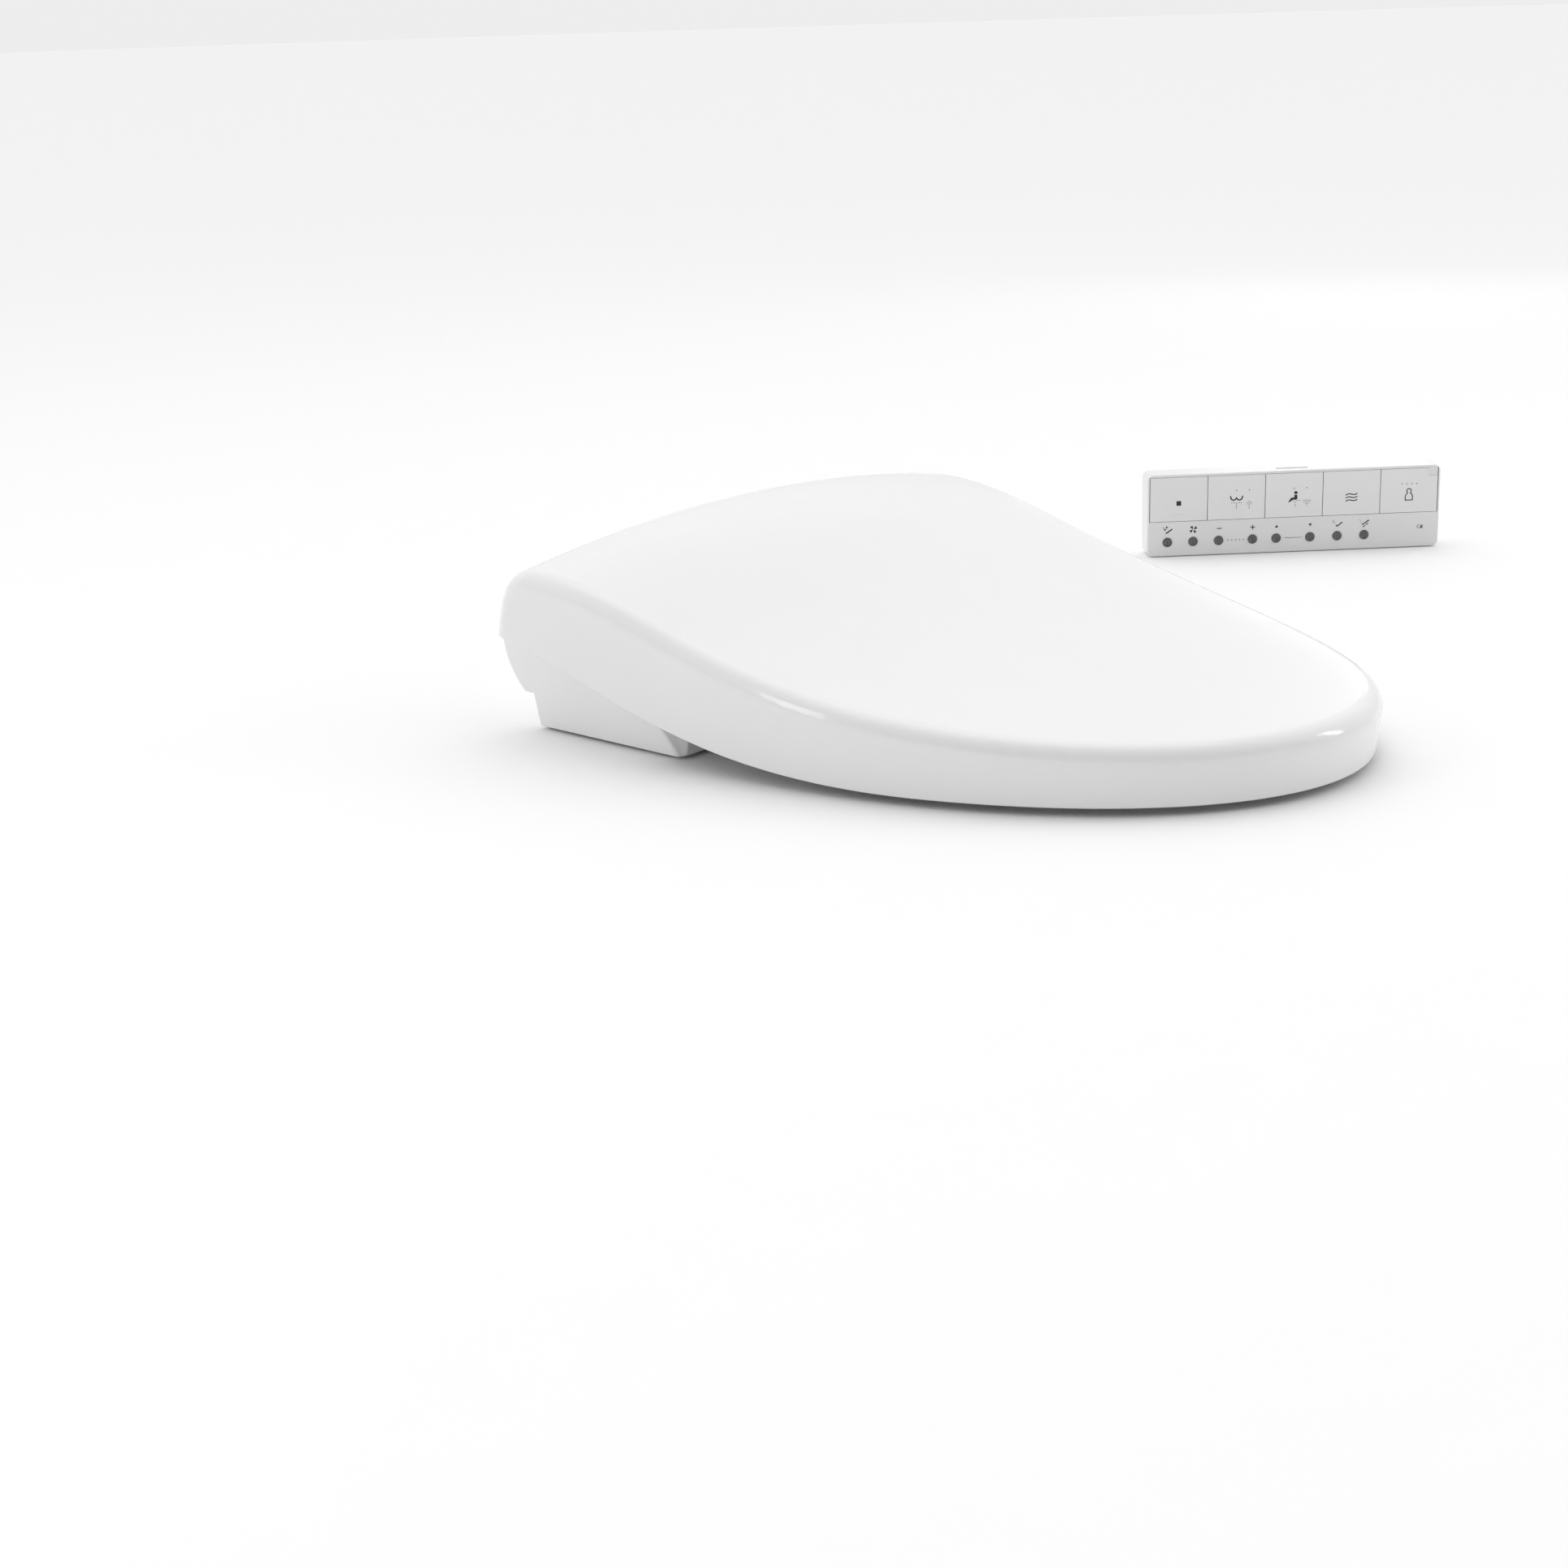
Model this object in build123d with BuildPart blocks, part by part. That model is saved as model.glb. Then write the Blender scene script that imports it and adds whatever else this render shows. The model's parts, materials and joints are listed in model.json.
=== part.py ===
"""Electric bidet seat with its wireless remote control.

Frame: millimetres, +X to the right, +Y towards the tank, +Z up.
Origin: midpoint of the two fixing bolts, on the plane of the bowl's rim.
"""
from build123d import *
from math import cos, radians, sin
import os

os.makedirs("parts", exist_ok=True)

# ---- overall outline of the closed seat
TIP_Y = -424.0            # front edge of the lid
WIDEST_Y = -123.0         # where the half-ellipse of the toe meets the straight sides
LID_HALF = 195.0          # half width of the lid at its top edge
LID_HALF_Z = 100.0        # height at which the lid has its full width
TIP_Z = 40.0              # height of the front edge
LID_DRAFT = 0.09          # how much the lid's side walls lean in per millimetre of height
TIP_DRAFT = 0.15          # the same at the front
LID_REAR_Y = 40.0
LID_WALL = 2.5
LID_EDGE_R = 11.0         # rounding between the top and the walls
LID_FOOT_R = 1.0
LID_TOP_Z = 120.0         # height of the blank that the lid is cut from

# side view of the lid: (y, height at the side edge, extra height at the centre line)
LID_TOP = [(-440, 38, 1), (-330, 36.8, 4), (-213, 48.5, 9), (-107, 73, 14), (-15, 95, 18), (8, 96, 18)]
LID_FOOT = [(-260, 4.4), (-160, 9.9), (-54, 31.6), (0, 49.0), (LID_REAR_Y, 57)]

# ---- seat ring
SEAT_HALF = 176.0
SEAT_TIP_Y = -411.5
SEAT_REAR_Y = -60.0
SEAT_WALL = 2.8
SEAT_EDGE_R = 9.0
HOLE_CENTRE_Y = -233.0
HOLE_HALF_WIDTH = 104.0
HOLE_HALF_LENGTH = 132.0
SEAT_TOP = [(-430, 26), (-300, 29), (-200, 37.5), (-107, 51), (-50, 58)]
SEAT_FOOT = [(-430, 8), (-260, 8), (-200, 13), (-107, 30), (-50, 36)]

# ---- hinge line shared by the seat and the lid
HINGE_Y = -8.0
HINGE_Z = 50.0
PIN_R = 4.0
RUNNING_GAP = 0.05
BOSS_R = 11.0
SEAT_ARM_X = 152.0        # inner face of a seat arm
LID_ARM_X = 167.0         # inner face of a lid arm
SEAT_ARM_W = 12.0
LID_ARM_W = 10.0

# ---- base unit
CORE_HALF = 148.0         # half width of the middle housing
CORE_R = 44.0             # its back and top are round about the hinge line
NOSE_Y = -98.0            # front face of the housing
NOSE_TOP_Z = 26.0         # height of the nose at its front, rising towards the back
NOSE_BACK = (-47.0, 35.0)
FLOOR_Z = 3.0
HEEL_Y = 19.0             # rear face of the foot, below the swing of the lid
HEEL_Z = 20.0             # top of the foot at the back
CHANNEL_TOP_Z = 12.5      # roof of the recess that slides over the mounting plate
BOLT_POCKET_HALF = 18.0   # half width of the deeper grooves that clear the bolt heads
CHANNEL_HALF = 95.0
CHANNEL_FRONT_Y = -40.0
WALL = 2.5
SPLIT_Z = 31.0            # joint between the lower and the upper case
SIDE_INNER_X = 150.0
SIDE_TOP_X = 187.0
SIDE_FOOT_X = 176.0
SIDE_WALL_X = 178.5       # inner face of the side cover's outer wall

# ---- mounting
BOLT_SPACING = 140.0
BOLT_HOLE_R = 4.25
PLATE_T = 5.0

# ---- spray wand
WAND_SLOPE = 14.0         # degrees below horizontal
WAND_R = 7.0
WAND_LENGTH = 130.0
WAND_EXIT = (0, NOSE_Y, 11)

# ---- remote control
REMOTE_AT = (500.0, -80.0)
REMOTE_YAW = -45.0
REMOTE_W = 220.0
REMOTE_H = 61.5
REMOTE_T = 24.0
CASE_SPLIT = 13.0         # depth of the front case
REMOTE_WALL = 2.0
KEY_PITCH = 43.3
KEY_H = 33.2
KEY_GAP = 0.4
KEY_T = 3.0
KEY_EDGE_R = 0.5
KEY_CENTRE_V = 42.9
TRAY_DEPTH = 5.0
BUTTON_R = 3.5
BUTTON_V = 10.7
BUTTON_U = {"light_clean": -94.8, "deodoriser": -75.5, "pressure_minus": -56.2, "pressure_plus": -30.7,
            "position_back": -12.8, "position_front": 12.7, "oscillate": 33.2, "wand_clean": 53.6}
KEY_NAMES = ["stop", "rear_wash", "front_wash", "dryer", "user_preset"]


def save(builder, name):
    """Label a finished piece and write it to its own file."""
    builder.part.label = name
    export_step(builder.part, f"parts/{name}.step")


def reach(edge):
    """The box around an edge."""
    return edge.bounding_box()


def toe_outline(height, half_width, tip_y, rear_y):
    """Horizontal outline: a half-ellipse toe with straight sides behind it."""
    with BuildSketch(Plane.XY.offset(height)) as outline:
        with BuildLine():
            toe = EllipticalCenterArc((0, WIDEST_Y), half_width, WIDEST_Y - tip_y, 180, arc_size=180)
            Polyline(toe @ 1, (half_width, rear_y), (-half_width, rear_y), toe @ 0)
        make_face()
    return outline.sketch


def lid_block(inset, drop, foot_shift):
    """The lid as a solid lump, with its sides moved in, its top lowered and its foot shifted."""
    with BuildPart() as plan:
        for z in (-60, LID_TOP_Z):
            half_width = LID_HALF - LID_DRAFT * (LID_HALF_Z - z) - inset
            add(toe_outline(z, half_width, TIP_Y - TIP_DRAFT * (z - TIP_Z) + inset, LID_REAR_Y + 20))
        loft(ruled=True)
    with BuildPart() as block:
        for station, crown in ((-LID_HALF - 5, 0), (0, 1), (LID_HALF + 5, 0)):
            with BuildSketch(Plane.YZ.offset(station)):
                with BuildLine():
                    top = [(y, edge + crown * rise - drop) for y, edge, rise in LID_TOP]
                    foot = [(y, z + foot_shift) for y, z in LID_FOOT[:-1]]
                    foot.append((LID_REAR_Y - inset, LID_FOOT[-1][1] + foot_shift))
                    Spline(*top)
                    shoulder = (28.5 - inset, 84.5 + 13 * crown - drop)
                    Spline(top[-1], shoulder, foot[-1], tangents=[(1, -0.15), (0.3, -1)])
                    Spline(*foot, tangents=[(1, 0), (1, 0.15)])
                    Polyline(foot[0], (-440, foot[0][1]), top[0])
                make_face()
        loft()
        add(plan.part, mode=Mode.INTERSECT)
        rim = [edge for edge in block.edges() if reach(edge).max.Z > 60 and reach(edge).size.Y > 10]
        fillet(rim, LID_EDGE_R - inset)
    return block.part


def is_seat_rim(edge):
    """True for the long edges around the top of the ring, outside and inside."""
    middle = edge @ 0.5
    high = reach(edge).min.Z > 22 and middle.Z > 60 + 0.13 * middle.Y
    return high and abs(middle.X) > 1 and reach(edge).size.Y > 10


def seat_block(inset, lower, lower_shift, upper, upper_shift, rounding=0):
    """The seat ring between two curves of its side view, with its walls moved in by inset."""
    with BuildPart() as block:
        add(toe_outline(0, SEAT_HALF - inset, SEAT_TIP_Y + inset, SEAT_REAR_Y - inset))
        extrude(amount=90)
        with BuildSketch():
            with Locations((0, HOLE_CENTRE_Y)):
                Ellipse(HOLE_HALF_WIDTH + inset, HOLE_HALF_LENGTH + inset)
        extrude(amount=90, mode=Mode.SUBTRACT)
        with BuildSketch(Plane.YZ):
            with BuildLine():
                low = [(y, z + lower_shift) for y, z in lower]
                high = [(y, z + upper_shift) for y, z in upper]
                Spline(*low)
                Spline(*high)
                Line(low[0], high[0])
                Line(low[-1], high[-1])
            make_face()
        extrude(amount=SEAT_HALF + 10, both=True, mode=Mode.INTERSECT)
        if rounding:
            rims = [edge for edge in block.edges() if is_seat_rim(edge)]
            fillet(rims, rounding)
    return block.part


def core_block(inset):
    """The middle housing: a low nose in front of a body that is round about the hinge line."""
    radius = CORE_R - inset
    with BuildPart() as block:
        with BuildSketch(Plane.YZ):
            with Locations((HINGE_Y, HINGE_Z)):
                Circle(radius)
            with BuildLine():
                Polyline((NOSE_Y + inset, FLOOR_Z + inset), (HEEL_Y - inset, FLOOR_Z + inset),
                         (HEEL_Y - inset, HEEL_Z), (HINGE_Y, HINGE_Z),
                         (NOSE_BACK[0], NOSE_BACK[1] - inset), (NOSE_Y + inset, NOSE_TOP_Z - inset),
                         close=True)
            make_face()
        extrude(amount=CORE_HALF - inset, both=True)
    return block.part


def bar(low, high, mode=Mode.ADD):
    """A box given by two opposite corners."""
    size = [b - a for a, b in zip(low, high)]
    with Locations(Location(tuple(low))):
        return Box(*size, align=(Align.MIN, Align.MIN, Align.MIN), mode=mode)


def across(x_low, x_high, y, z, radius, mode=Mode.ADD):
    """A round bar or hole along X."""
    with BuildSketch(Plane.YZ.offset(x_low)) as disc:
        with Locations((y, z)):
            Circle(radius)
    extrude(disc.sketch, amount=x_high - x_low, mode=mode)


# ---- lid --------------------------------------------------------------------------------------
SHELL_CUT_Z = 95.0        # the back of the lid stops here between its two side wings
LINER_REAR_Y = -38.0      # the liner stops in front of the hinge so that the lid can swing

with BuildPart() as lid_shell:
    add(lid_block(0, 0, 0))
    foot_edges = [edge for edge in lid_shell.edges() if reach(edge).min.Z < 17 and reach(edge).size.Y > 12]
    fillet(foot_edges, LID_FOOT_R)
    add(lid_block(LID_WALL, LID_WALL, -60), mode=Mode.SUBTRACT)
    bar((-187.6, -5, 40), (187.6, 60, SHELL_CUT_Z), mode=Mode.SUBTRACT)
save(lid_shell, "lid_shell")

with BuildPart() as lid_liner:
    add(lid_block(LID_WALL + 0.4, 6, 0.8))
    add(lid_block(LID_WALL + 3, 8.4, -60), mode=Mode.SUBTRACT)
    bar((-200, LINER_REAR_Y, 0), (200, 60, 130), mode=Mode.SUBTRACT)
    for side in (-1, 1):
        with BuildSketch(Plane.YZ.offset(side * LID_ARM_X)):
            with Locations((HINGE_Y, HINGE_Z)):
                Circle(BOSS_R)
            with BuildLine():
                Polyline((-15, 57), (-2, 58), (-38.5, 87.8), (-56, 83.5), (-56, 74), close=True)
            make_face()
        extrude(amount=side * LID_ARM_W)
    across(-200, 200, HINGE_Y, HINGE_Z, PIN_R + RUNNING_GAP, mode=Mode.SUBTRACT)
save(lid_liner, "lid_liner")

LID_BUMPER_R = 5.0
LID_BUMPERS = [(-98, -330, 28.9), (98, -330, 28.9), (-140, -215, 37.0), (140, -215, 37.0)]
with BuildPart() as lid_bumpers:
    for x, y, foot in LID_BUMPERS:
        with Locations((x, y, foot)):
            Cylinder(LID_BUMPER_R, 14, align=(Align.CENTER, Align.CENTER, Align.MIN))
    add(lid_block(LID_WALL + 3, 8.4, -60), mode=Mode.INTERSECT)
save(lid_bumpers, "lid_bumpers")

# ---- seat -------------------------------------------------------------------------------------
with BuildPart() as seat_top:
    add(seat_block(0, SEAT_FOOT, 0, SEAT_TOP, 0, SEAT_EDGE_R))
    add(seat_block(SEAT_WALL, SEAT_FOOT, -20, SEAT_TOP, -SEAT_WALL, SEAT_EDGE_R - SEAT_WALL), mode=Mode.SUBTRACT)
    for side in (-1, 1):
        with BuildSketch(Plane.YZ.offset(side * SEAT_ARM_X)):
            with Locations((HINGE_Y, HINGE_Z)):
                Circle(BOSS_R)
            with BuildLine():
                Polyline((SEAT_REAR_Y - 1, 37), (-9, 39.1), (-8, 60.9), (SEAT_REAR_Y - 1, 55), close=True)
            make_face()
        extrude(amount=side * SEAT_ARM_W)
    across(-200, 200, HINGE_Y, HINGE_Z, PIN_R + RUNNING_GAP, mode=Mode.SUBTRACT)
save(seat_top, "seat_top")

with BuildPart() as seat_pan:
    add(seat_block(SEAT_WALL + 0.3, SEAT_FOOT, 0.5, SEAT_FOOT, 3.3))
save(seat_pan, "seat_pan")

with BuildPart() as seat_heater:
    add(seat_block(SEAT_WALL + 6.5, SEAT_TOP, -SEAT_WALL - 1.0, SEAT_TOP, -SEAT_WALL - 0.4))
save(seat_heater, "seat_heater")

SEAT_BUMPERS = [(-102, -325), (102, -325), (-146, -185), (146, -185)]
with BuildPart() as seat_bumpers:
    for x, y in SEAT_BUMPERS:
        with Locations((x, y, 0)):
            Cylinder(9, 40, align=(Align.CENTER, Align.CENTER, Align.MIN))
    with BuildSketch(Plane.YZ):
        with BuildLine():
            Spline(*[(y, z + 0.5) for y, z in SEAT_FOOT])
            Polyline((SEAT_FOOT[-1][0], SEAT_FOOT[-1][1] + 0.5), (-50, 0), (-430, 0), (-430, SEAT_FOOT[0][1] + 0.5))
        make_face()
    extrude(amount=200, both=True, mode=Mode.INTERSECT)
save(seat_bumpers, "seat_bumpers")

# ---- mounting plate and the adjusters that take the fixing bolts ---------------------------------
PLATE_HALF = 92.0
PLATE_FRONT_Y = -36.0
PLATE_REAR_Y = 17.0
SLOT_W = 18.0
SLOT_L = 34.0
ADJUSTER = 28.0

with BuildPart() as mounting_plate:
    bar((-PLATE_HALF, PLATE_FRONT_Y, 0), (PLATE_HALF, PLATE_REAR_Y, PLATE_T))
    with Locations((-BOLT_SPACING / 2, 0), (BOLT_SPACING / 2, 0)):
        Box(SLOT_W, SLOT_L, 40, mode=Mode.SUBTRACT)
    for side in (-1, 1):
        rail = sorted((side * (PLATE_HALF - 4), side * PLATE_HALF))
        bar((rail[0], PLATE_FRONT_Y, PLATE_T), (rail[1], PLATE_REAR_Y, PLATE_T + 6))
    bar((20, PLATE_FRONT_Y, PLATE_T), (40, PLATE_FRONT_Y + 4, PLATE_T + 7))
save(mounting_plate, "mounting_plate")

with BuildPart() as bolt_adjusters:
    with Locations((-BOLT_SPACING / 2, 0), (BOLT_SPACING / 2, 0)):
        Box(SLOT_W - 0.6, SLOT_W - 0.6, PLATE_T, align=(Align.CENTER, Align.CENTER, Align.MIN))
    with Locations((-BOLT_SPACING / 2, 0, PLATE_T), (BOLT_SPACING / 2, 0, PLATE_T)):
        Box(ADJUSTER, ADJUSTER, 3, align=(Align.CENTER, Align.CENTER, Align.MIN))
    with Locations((-BOLT_SPACING / 2, 0), (BOLT_SPACING / 2, 0)):
        Cylinder(BOLT_HOLE_R, 60, mode=Mode.SUBTRACT)
save(bolt_adjusters, "bolt_adjusters")

# ---- middle housing ----------------------------------------------------------------------------
INLET_X = -122.0
INLET_Z = 14.0
GLAND_X = 122.0
NICHE_HALF = 21.0
NICHE_Y = 5.0
NICHE_TOP_Z = 28.0
INLET_R = 10.48
TAIL_R = 6.2
GLAND_TAIL_R = 5.0
SCREW_R = 1.5
SCREWS = [(-72, 14), (-6, 14)]
FILTER_BOX = ((-79, NOSE_Y, 5.8), (-41, -58, 18))
FLAP_X = (50.0, 78.0)
FLAP_PIN = (-96.75, 21.3)
WINDOW = ((100, -60, 66), (130, -20, 76))
WAND_AXIS = Plane(origin=WAND_EXIT, x_dir=(1, 0, 0),
                  z_dir=(0, -cos(radians(WAND_SLOPE)), -sin(radians(WAND_SLOPE))))


def recesses(grow, mode):
    """The channel over the mounting plate and the two niches at the back, grown by a wall."""
    half = CHANNEL_HALF + grow
    bar((-half, CHANNEL_FRONT_Y - grow, -5), (half, 70, CHANNEL_TOP_Z + grow), mode=mode)
    for x in (-BOLT_SPACING / 2, BOLT_SPACING / 2):
        reach = BOLT_POCKET_HALF + grow
        bar((x - reach, CHANNEL_FRONT_Y - grow, -5), (x + reach, 70, HEEL_Z + grow), mode=mode)
    for x in (INLET_X, GLAND_X):
        reach = NICHE_HALF + grow
        bar((x - reach, NICHE_Y - grow, -5), (x + reach, 70, NICHE_TOP_Z + grow), mode=mode)


with BuildPart() as core_cavity:
    add(core_block(WALL))
    recesses(WALL, Mode.SUBTRACT)

with BuildPart() as lower_case:
    add(core_block(0))
    bar((-200, -120, SPLIT_Z), (200, 60, 120), mode=Mode.SUBTRACT)
    recesses(0, Mode.SUBTRACT)
    add(core_cavity.part, mode=Mode.SUBTRACT)
    with BuildSketch(WAND_AXIS.offset(-20)) as bore:
        Circle(WAND_R + 0.9)
    extrude(amount=30, mode=Mode.SUBTRACT)
    low, high = FILTER_BOX
    bar((low[0] - 0.5, low[1] - 2, low[2] - 0.3), (high[0] + 0.5, high[1], high[2] + 0.5), mode=Mode.SUBTRACT)
    bar((FLAP_X[0] - 1, NOSE_Y - 2, 6), (FLAP_X[1] + 1, NOSE_Y + 10, 23), mode=Mode.SUBTRACT)
    across(FLAP_X[0] - 3, FLAP_X[1] + 3, *FLAP_PIN, 0.85, mode=Mode.SUBTRACT)
    for x, radius in ((INLET_X, TAIL_R), (GLAND_X, GLAND_TAIL_R)):
        with BuildSketch(Plane.XZ.offset(-NICHE_Y - 5)):
            with Locations((x, INLET_Z)):
                Circle(radius)
        extrude(amount=12, mode=Mode.SUBTRACT)
    for y, z in SCREWS:
        for x in (-160, 140):
            across(x, x + 20, y, z, SCREW_R, mode=Mode.SUBTRACT)
save(lower_case, "lower_case")

with BuildPart() as upper_case:
    add(core_block(0))
    add(core_block(WALL), mode=Mode.SUBTRACT)
    bar((-200, -120, -10), (200, 60, SPLIT_Z), mode=Mode.SUBTRACT)
    bar(*WINDOW, mode=Mode.SUBTRACT)
    across(-160, 160, HINGE_Y, HINGE_Z, PIN_R, mode=Mode.SUBTRACT)
save(upper_case, "upper_case")

with BuildPart() as sensor_window:
    add(core_block(0))
    add(core_block(WALL), mode=Mode.SUBTRACT)
    bar(*WINDOW, mode=Mode.INTERSECT)
save(sensor_window, "sensor_window")

# ---- side covers -------------------------------------------------------------------------------
SIDE_FOOT_Z = 1.5
SEAM_GAP = 1.2
SIDE_EDGE_R = 2.5
NOTCH_TOP_Z = 22.5        # the cover steps forward below this height at the back
CORNER_CUTS = [(0, 168, -88), (40, 163, -50)]   # height, x and y where the slanting front corner starts and ends
SIDE_FOOT_R = 1.0
POCKET_FLOOR_Z = 26.0
BUTTON_BOX = ((168.0, -52.0, 9.0), (177.2, -30.0, 17.0))
FEET = [(-164, -74), (164, -74), (-164, 4), (164, 4)]


def is_cover_corner(edge, side):
    """True for the upright edges of a side cover's outer wall."""
    outside = side * (edge @ 0.5).X > SIDE_INNER_X + 12
    return outside and reach(edge).size.Z > 10 and reach(edge).size.Y < 20


def side_cover(side):
    """One cover: outer wall up to the lid's edge, pocket for the hinge arms, hollow foot."""
    seam = [(y, z - SEAM_GAP) for y, z in LID_FOOT[:-1]]
    rear_z = LID_FOOT[-1][1] - SEAM_GAP
    inner = side * SIDE_INNER_X
    with BuildPart() as cover:
        with BuildSketch(Plane.YZ.offset(inner)):
            with BuildLine():
                rise = Spline(*seam, (LID_REAR_Y, rear_z), tangents=[(1, 0), (1, 0.15)])
                Polyline(rise @ 1, (LID_REAR_Y, SIDE_FOOT_Z), (-260, SIDE_FOOT_Z), rise @ 0)
            make_face()
        extrude(amount=side * 50)
        with BuildSketch(Plane.YZ.offset(inner)):
            with Locations((HINGE_Y, HINGE_Z)):
                Circle(CORE_R)
            with BuildLine():
                Polyline((NOSE_Y, 0), (HEEL_Y, 0), (HEEL_Y, HEEL_Z), (HINGE_Y, HINGE_Z),
                         (NOSE_Y, HINGE_Z), close=True)
            make_face()
        extrude(amount=side * 60, mode=Mode.INTERSECT)
        with BuildSketch(Plane.XZ.offset(-100)):
            with BuildLine():
                Polyline((side * SIDE_FOOT_X, SIDE_FOOT_Z), (side * SIDE_TOP_X, LID_FOOT[-1][1]),
                         (side * 230, 60), (side * 230, SIDE_FOOT_Z), close=True)
            make_face()
        extrude(amount=220, mode=Mode.SUBTRACT)
        with BuildPart(mode=Mode.SUBTRACT):
            for z, start, end in CORNER_CUTS:
                with BuildSketch(Plane.XY.offset(z)):
                    with BuildLine():
                        Polyline((side * start, NOSE_Y - 2), (side * 192, end), (side * 192, NOSE_Y - 2), close=True)
                    make_face()
            loft(ruled=True)
        notch = sorted((side * (SIDE_INNER_X - 1), side * 200))
        bar((notch[0], HEEL_Y, 0), (notch[1], 60, NOTCH_TOP_Z), mode=Mode.SUBTRACT)
        corners = [edge for edge in cover.edges() if is_cover_corner(edge, side)]
        fillet(corners, SIDE_EDGE_R)
        foot = [edge for edge in cover.edges() if reach(edge).max.Z < SIDE_FOOT_Z + 0.1 and (edge @ 0.5).X * side > SIDE_INNER_X + 1]
        fillet(foot, SIDE_FOOT_R)
        pocket = sorted((side * (SIDE_INNER_X - 1), side * SIDE_WALL_X))
        bar((pocket[0], -120, POCKET_FLOOR_Z), (pocket[1], 60, 90), mode=Mode.SUBTRACT)
        hollow = sorted((side * (SIDE_INNER_X + 3), side * (SIDE_FOOT_X - 4)))
        bar((hollow[0], -88, 0), (hollow[1], HEEL_Y - 3, POCKET_FLOOR_Z - 3), mode=Mode.SUBTRACT)
        for y, z in SCREWS:
            across(-160, 160, y, z, SCREW_R, mode=Mode.SUBTRACT)
        if side > 0:
            low, high = BUTTON_BOX
            bar((low[0], low[1] - 0.3, low[2] - 0.3), (high[0] + 10, high[1] + 0.3, high[2] + 0.3), mode=Mode.SUBTRACT)
    return cover


side_cover_left = side_cover(-1)
save(side_cover_left, "side_cover_left")
side_cover_right = side_cover(1)
save(side_cover_right, "side_cover_right")

with BuildPart() as base_feet:
    for x, y in FEET:
        with Locations((x, y, 0)):
            Cylinder(7, POCKET_FLOOR_Z - 3, align=(Align.CENTER, Align.CENTER, Align.MIN))
save(base_feet, "base_feet")

with BuildPart() as case_screws:
    for side in (-1, 1):
        for y, z in SCREWS:
            for x_low, x_high, radius in ((143, 153, SCREW_R), (153, 155, 3)):
                with BuildSketch(Plane.YZ.offset(side * x_low)):
                    with Locations((y, z)):
                        Circle(radius)
                extrude(amount=side * (x_high - x_low))
save(case_screws, "case_screws")

with BuildPart() as release_button:
    bar(*BUTTON_BOX)
    bar((166, -50, 10), (168, -32, 16))
save(release_button, "release_button")

# ---- hinge pins and soft-close dampers ---------------------------------------------------------
with BuildPart() as hinge_pins:
    for side in (-1, 1):
        with BuildSketch(Plane.YZ.offset(side * 144.5)):
            with Locations((HINGE_Y, HINGE_Z)):
                Circle(PIN_R)
        extrude(amount=side * 33)
save(hinge_pins, "hinge_pins")

with BuildPart() as soft_close_dampers:
    for side in (-1, 1):
        with BuildSketch(Plane.YZ.offset(side * 112)):
            with Locations((HINGE_Y, HINGE_Z)):
                Circle(10)
        extrude(amount=side * 32.5)
save(soft_close_dampers, "soft_close_dampers")

# ---- water path --------------------------------------------------------------------------------
with BuildPart() as water_inlet:
    with BuildSketch(Plane.XZ.offset(-18)):
        with Locations((INLET_X, INLET_Z)):
            Circle(INLET_R)
    extrude(amount=18 - NICHE_Y)
    with BuildSketch(Plane.XZ.offset(-NICHE_Y)):
        with Locations((INLET_X, INLET_Z)):
            Circle(TAIL_R)
    extrude(amount=23)
    with BuildSketch(Plane.XZ.offset(-18)):
        with Locations((INLET_X, INLET_Z)):
            Circle(TAIL_R - 0.2)
    extrude(amount=12, mode=Mode.SUBTRACT)
    with BuildSketch(Plane.XZ.offset(-18)):
        with Locations((INLET_X, INLET_Z)):
            Circle(3.5)
    extrude(amount=40, mode=Mode.SUBTRACT)
save(water_inlet, "water_inlet")

with BuildPart() as inlet_strainer:
    with BuildSketch(Plane.XZ.offset(-16)):
        with Locations((INLET_X, INLET_Z)):
            Circle(TAIL_R - 0.3)
            Circle(4.6, mode=Mode.SUBTRACT)
    extrude(amount=9.5)
save(inlet_strainer, "inlet_strainer")

VALVE_Y = -30.0
with BuildPart() as solenoid_valve:
    bar((INLET_X - 12, VALVE_Y - 12, 6), (INLET_X + 12, VALVE_Y + 12, 40))
    with Locations((INLET_X, VALVE_Y, 40)):
        Cylinder(9, 22, align=(Align.CENTER, Align.CENTER, Align.MIN))
save(solenoid_valve, "solenoid_valve")

with BuildPart() as water_heater:
    bar((-98, -38, 26), (-48, 20, 60))
    fillet(water_heater.edges().filter_by(Axis.X), 4)
save(water_heater, "water_heater")

with BuildPart() as switching_valve:
    across(-40, -17, -15, 55, 12)
save(switching_valve, "switching_valve")

with BuildPart() as water_tubes:
    across(-110, -98, -26, 32, 4)
    across(-48, -40, -15, 55, 4)
    across(-17, -9.6, -15, 52, 2.5)
save(water_tubes, "water_tubes")

# ---- wand --------------------------------------------------------------------------------------
TIP_LENGTH = 14.0
TIP_INSET = 3.0

with BuildPart() as wand_guide:
    with BuildSketch(WAND_AXIS.offset(-112)):
        Circle(WAND_R + 1.2)
        Circle(WAND_R + 0.06, mode=Mode.SUBTRACT)
    extrude(amount=100)
save(wand_guide, "wand_guide")

with BuildPart() as wand:
    with BuildSketch(WAND_AXIS.offset(-WAND_LENGTH)):
        Circle(WAND_R)
        Circle(WAND_R - 2, mode=Mode.SUBTRACT)
    extrude(amount=WAND_LENGTH - TIP_INSET - TIP_LENGTH)
save(wand, "wand")

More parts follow.
